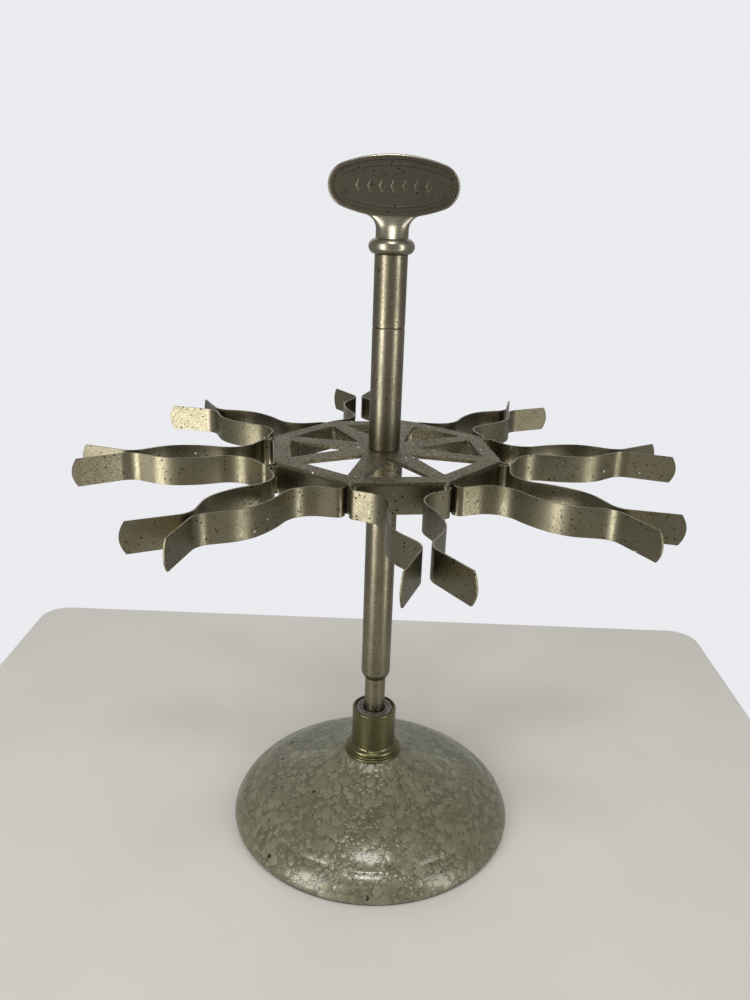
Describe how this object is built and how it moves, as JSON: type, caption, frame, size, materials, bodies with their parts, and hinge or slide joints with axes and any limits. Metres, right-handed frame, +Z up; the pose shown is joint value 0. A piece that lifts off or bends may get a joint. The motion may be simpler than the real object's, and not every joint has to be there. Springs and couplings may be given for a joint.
{
  "type": "stamp carousel rack",
  "caption": "Free-standing rotating rack for rubber stamps: a domed base with a socket, a turning spindle, an octagonal spoked wheel with spring clips, and an oval finial.",
  "frame": {"origin": "middle of the foot pad's underside, on the spindle's axis", "axes": "+Z up the spindle; the finial's oval plate faces -Y; the first clip points 8 degrees from +X towards +Y"},
  "size_m": [0.2432, 0.2432, 0.2871],
  "materials": {
    "felt": "matt pressed felt",
    "hammer_enamel": "glossy hammer-finish enamel",
    "collar_bronze": "dull nickel plate over brass, aged to olive bronze",
    "bearing_steel": "turned steel, dark with old grease",
    "fastener_steel": "plain steel",
    "ball_steel": "polished bearing steel",
    "post_nickel": "aged nickel plate, fine draw marks",
    "wheel_plate": "rough casting with worn nickel plate",
    "clip_nickel": "nickel-plated spring strip with dark pits",
    "knob_pewter": "soft, darkened nickel plate"
  },
  "bodies": {
    "base": {"foot_pad": "felt", "base_dome": "hammer_enamel", "trim_ring": "collar_bronze", "socket_collar": "collar_bronze", "socket_bush": "bearing_steel", "lock_washer": "fastener_steel", "base_nut": "fastener_steel"},
    "ball": {"thrust_ball": "ball_steel"},
    "rotor": {"spindle": "post_nickel", "wheel": "wheel_plate", "clip_1": "clip_nickel", "clip_2": "clip_nickel", "clip_3": "clip_nickel", "clip_4": "clip_nickel", "clip_5": "clip_nickel", "clip_6": "clip_nickel", "clip_7": "clip_nickel", "clip_8": "clip_nickel", "middle_sleeve": "post_nickel", "upper_sleeve": "post_nickel", "finial": "knob_pewter"}
  },
  "joints": [
    {"name": "spin", "type": "hinge", "parent": "base", "child": "ball", "pos_m": [0, 0, 0.028], "axis": [0, 0, 1], "continuous": true},
    {"name": "lift_out", "type": "slide", "parent": "ball", "child": "rotor", "axis": [0, 0, 1], "range_m": [0, 0.025]}
  ]
}
